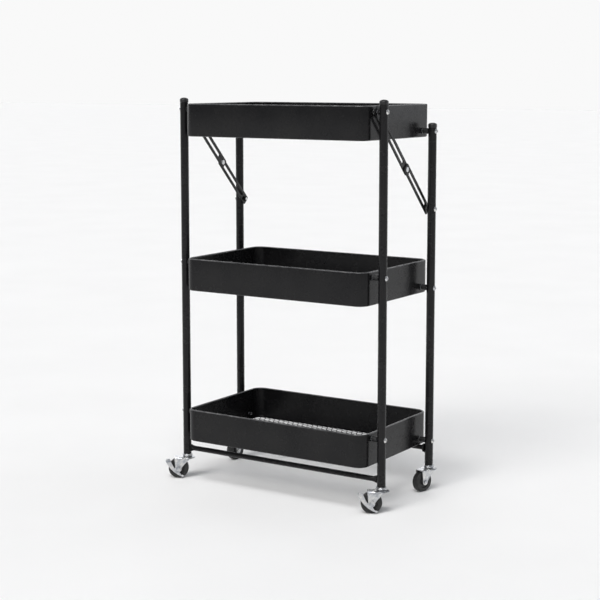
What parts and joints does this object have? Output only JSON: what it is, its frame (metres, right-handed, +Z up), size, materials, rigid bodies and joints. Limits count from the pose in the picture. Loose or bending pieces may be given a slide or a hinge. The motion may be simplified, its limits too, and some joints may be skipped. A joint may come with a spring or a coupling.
{
  "type": "rolling salon trolley",
  "caption": "Folding rolling salon trolley: tube frames, pivoting mesh-floored metal trays, slotted folding braces and swivel casters with brakes at the front.",
  "frame": {"origin": "on the floor, under the middle of the whole footprint", "axes": "+Z up, +X to the right seen from the front, -Y towards the front with the braked casters"},
  "size_m": [0.5052, 0.2538, 0.76],
  "materials": {
    "black_steel": "semi-gloss black powder coat",
    "zinc": "bright zinc plate",
    "black_plastic": "fine matt moulded black",
    "black_rubber": "satin black caster tread"
  },
  "bodies": {
    "front_frame": {"front_left_post": "black_steel", "front_left_post_cap": "black_plastic", "front_right_post": "black_steel", "front_right_post_cap": "black_plastic", "front_crossbar": "black_steel", "bottom_tray_front_left_pivot_bolt": "zinc", "middle_tray_front_left_pivot_bolt": "zinc", "top_tray_front_left_pivot_bolt": "zinc", "front_left_caster_stem": "zinc", "bottom_tray_front_right_pivot_bolt": "zinc", "middle_tray_front_right_pivot_bolt": "zinc", "top_tray_front_right_pivot_bolt": "zinc", "front_right_caster_stem": "zinc"},
    "back_frame": {"back_left_post": "black_steel", "back_left_post_cap": "black_plastic", "back_right_post": "black_steel", "back_right_post_cap": "black_plastic", "back_crossbar": "black_steel", "bottom_tray_back_left_pivot_bolt": "zinc", "middle_tray_back_left_pivot_bolt": "zinc", "top_tray_back_left_pivot_bolt": "zinc", "back_left_caster_stem": "zinc", "bottom_tray_back_right_pivot_bolt": "zinc", "middle_tray_back_right_pivot_bolt": "zinc", "top_tray_back_right_pivot_bolt": "zinc", "back_right_caster_stem": "zinc", "left_brace_foot_bolt": "zinc", "right_brace_foot_bolt": "zinc"},
    "bottom_tray": {"bottom_tray_shell": "black_steel", "bottom_tray_mesh_floor": "black_steel"},
    "middle_tray": {"middle_tray_shell": "black_steel", "middle_tray_mesh_floor": "black_steel"},
    "top_tray": {"top_tray_shell": "black_steel", "top_tray_mesh_floor": "black_steel"},
    "left_brace_upper": {"left_brace_upper_link": "black_steel", "left_elbow_rivet_inner": "zinc"},
    "left_brace_lower": {"left_brace_lower_link": "black_steel", "left_elbow_rivet_outer": "zinc"},
    "right_brace_upper": {"right_brace_upper_link": "black_steel", "right_elbow_rivet_inner": "zinc"},
    "right_brace_lower": {"right_brace_lower_link": "black_steel", "right_elbow_rivet_outer": "zinc"},
    "front_left_caster_swivel": {"front_left_caster_fork": "zinc", "front_left_caster_axle": "zinc"},
    "front_left_caster_wheel": {"front_left_caster_wheel": "black_rubber"},
    "front_left_caster_brake": {"front_left_caster_brake_lever": "zinc"},
    "front_right_caster_swivel": {"front_right_caster_fork": "zinc", "front_right_caster_axle": "zinc"},
    "front_right_caster_wheel": {"front_right_caster_wheel": "black_rubber"},
    "front_right_caster_brake": {"front_right_caster_brake_lever": "zinc"},
    "back_left_caster_swivel": {"back_left_caster_fork": "zinc", "back_left_caster_axle": "zinc"},
    "back_left_caster_wheel": {"back_left_caster_wheel": "black_rubber"},
    "back_right_caster_swivel": {"back_right_caster_fork": "zinc", "back_right_caster_axle": "zinc"},
    "back_right_caster_wheel": {"back_right_caster_wheel": "black_rubber"}
  },
  "joints": [
    {"name": "fold", "type": "hinge", "parent": "front_frame", "child": "bottom_tray", "pos_m": [0.0131, -0.0921, 0.138], "axis": [1, 0, 0], "range_deg": [0, 85]},
    {"name": "middle_tray_fold", "type": "hinge", "parent": "front_frame", "child": "middle_tray", "pos_m": [0.0131, -0.0921, 0.438], "axis": [1, 0, 0], "range_deg": [0, 85]},
    {"name": "top_tray_fold", "type": "hinge", "parent": "front_frame", "child": "top_tray", "pos_m": [0.0131, -0.0921, 0.738], "axis": [1, 0, 0], "range_deg": [0, 85]},
    {"name": "back_frame_fold", "type": "hinge", "parent": "bottom_tray", "child": "back_frame", "pos_m": [0.0131, 0.0939, 0.098], "axis": [1, 0, 0], "range_deg": [-85, 0]},
    {"name": "left_brace_upper_fold", "type": "hinge", "parent": "front_frame", "child": "left_brace_upper", "pos_m": [-0.1972, -0.0921, 0.738], "axis": [1, 0, 0], "range_deg": [0, 116]},
    {"name": "left_brace_lower_fold", "type": "hinge", "parent": "back_frame", "child": "left_brace_lower", "pos_m": [-0.1995, 0.0939, 0.55], "axis": [1, 0, 0], "range_deg": [-41.96, 0]},
    {"name": "right_brace_upper_fold", "type": "hinge", "parent": "front_frame", "child": "right_brace_upper", "pos_m": [0.2234, -0.0921, 0.738], "axis": [1, 0, 0], "range_deg": [0, 116]},
    {"name": "right_brace_lower_fold", "type": "hinge", "parent": "back_frame", "child": "right_brace_lower", "pos_m": [0.2257, 0.0939, 0.55], "axis": [1, 0, 0], "range_deg": [-41.96, 0]},
    {"name": "front_left_caster_swivel", "type": "hinge", "parent": "front_frame", "child": "front_left_caster_swivel", "pos_m": [-0.2109, -0.0921, 0.045], "axis": [0, 0, 1], "continuous": true},
    {"name": "front_left_caster_roll", "type": "hinge", "parent": "front_left_caster_swivel", "child": "front_left_caster_wheel", "pos_m": [-0.22617, -0.10164, 0.02], "axis": [0.5299, -0.848, 0], "continuous": true},
    {"name": "front_left_caster_brake", "type": "hinge", "parent": "front_left_caster_swivel", "child": "front_left_caster_brake", "pos_m": [-0.22617, -0.10164, 0.02], "axis": [0.5299, -0.848, 0], "range_deg": [0, 18]},
    {"name": "front_right_caster_swivel", "type": "hinge", "parent": "front_frame", "child": "front_right_caster_swivel", "pos_m": [0.2371, -0.0921, 0.045], "axis": [0, 0, 1], "continuous": true},
    {"name": "front_right_caster_roll", "type": "hinge", "parent": "front_right_caster_swivel", "child": "front_right_caster_wheel", "pos_m": [0.22184, -0.10164, 0.02], "axis": [0.5299, -0.848, 0], "continuous": true},
    {"name": "front_right_caster_brake", "type": "hinge", "parent": "front_right_caster_swivel", "child": "front_right_caster_brake", "pos_m": [0.22184, -0.10164, 0.02], "axis": [0.5299, -0.848, 0], "range_deg": [0, 18]},
    {"name": "back_left_caster_swivel", "type": "hinge", "parent": "back_frame", "child": "back_left_caster_swivel", "pos_m": [-0.2109, 0.0939, 0.045], "axis": [0, 0, 1], "continuous": true},
    {"name": "back_left_caster_roll", "type": "hinge", "parent": "back_left_caster_swivel", "child": "back_left_caster_wheel", "pos_m": [-0.21341, 0.07608, 0.02], "axis": [0.9903, -0.1392, 0], "continuous": true},
    {"name": "back_right_caster_swivel", "type": "hinge", "parent": "back_frame", "child": "back_right_caster_swivel", "pos_m": [0.2371, 0.0939, 0.045], "axis": [0, 0, 1], "continuous": true},
    {"name": "back_right_caster_roll", "type": "hinge", "parent": "back_right_caster_swivel", "child": "back_right_caster_wheel", "pos_m": [0.23154, 0.07678, 0.02], "axis": [0.9511, -0.309, 0], "continuous": true}
  ],
  "couplings": [
    {"joint": "middle_tray_fold", "follows": "fold", "ratio": 1},
    {"joint": "top_tray_fold", "follows": "fold", "ratio": 1},
    {"joint": "back_frame_fold", "follows": "fold", "ratio": -1},
    {"joint": "left_brace_upper_fold", "follows": "fold", "ratio": 1.3646},
    {"joint": "left_brace_lower_fold", "follows": "fold", "ratio": -0.49352},
    {"joint": "right_brace_upper_fold", "follows": "fold", "ratio": 1.3646},
    {"joint": "right_brace_lower_fold", "follows": "fold", "ratio": -0.49352}
  ]
}
